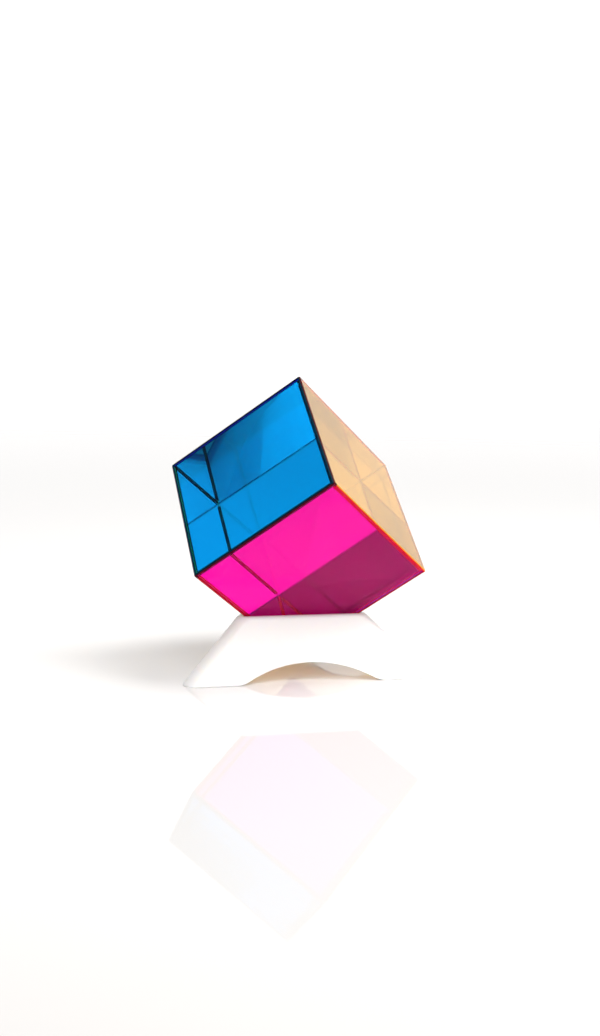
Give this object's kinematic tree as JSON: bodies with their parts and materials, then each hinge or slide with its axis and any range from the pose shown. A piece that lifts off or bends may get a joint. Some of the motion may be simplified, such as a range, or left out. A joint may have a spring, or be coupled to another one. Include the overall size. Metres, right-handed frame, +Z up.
{
  "type": "colour mixing cube on a corner stand",
  "caption": "Clear block boxed in cyan, magenta and yellow plates, standing on one corner in a white stand with arched walls; the cube lifts off.",
  "frame": {"origin": "on the table plane, on the upright axis that runs through the cube's lowest and highest corners and the middle of the stand", "axes": "+Z up along the cube's body diagonal; -Y is the front, square to the stand's front wall, with the cube's lower magenta face above it; +X to the right seen from the front"},
  "size_m": [0.0762, 0.0838, 0.0892],
  "materials": {
    "stand_plastic": "satin white moulding",
    "clear_acrylic": "polished, colourless and clear",
    "cyan_acrylic": "polished transparent cyan",
    "magenta_acrylic": "polished transparent magenta",
    "yellow_acrylic": "polished transparent yellow"
  },
  "bodies": {
    "stand": {"corner_stand": "stand_plastic"},
    "cube": {"clear_core": "clear_acrylic", "cyan_panel_upper": "cyan_acrylic", "cyan_panel_lower": "cyan_acrylic", "magenta_panel_upper": "magenta_acrylic", "magenta_panel_lower": "magenta_acrylic", "yellow_panel_upper": "yellow_acrylic", "yellow_panel_lower": "yellow_acrylic"}
  },
  "joints": [
    {"name": "cube_lift", "type": "slide", "parent": "stand", "child": "cube", "axis": [0, 0, 1], "range_m": [0, 0.04]}
  ]
}
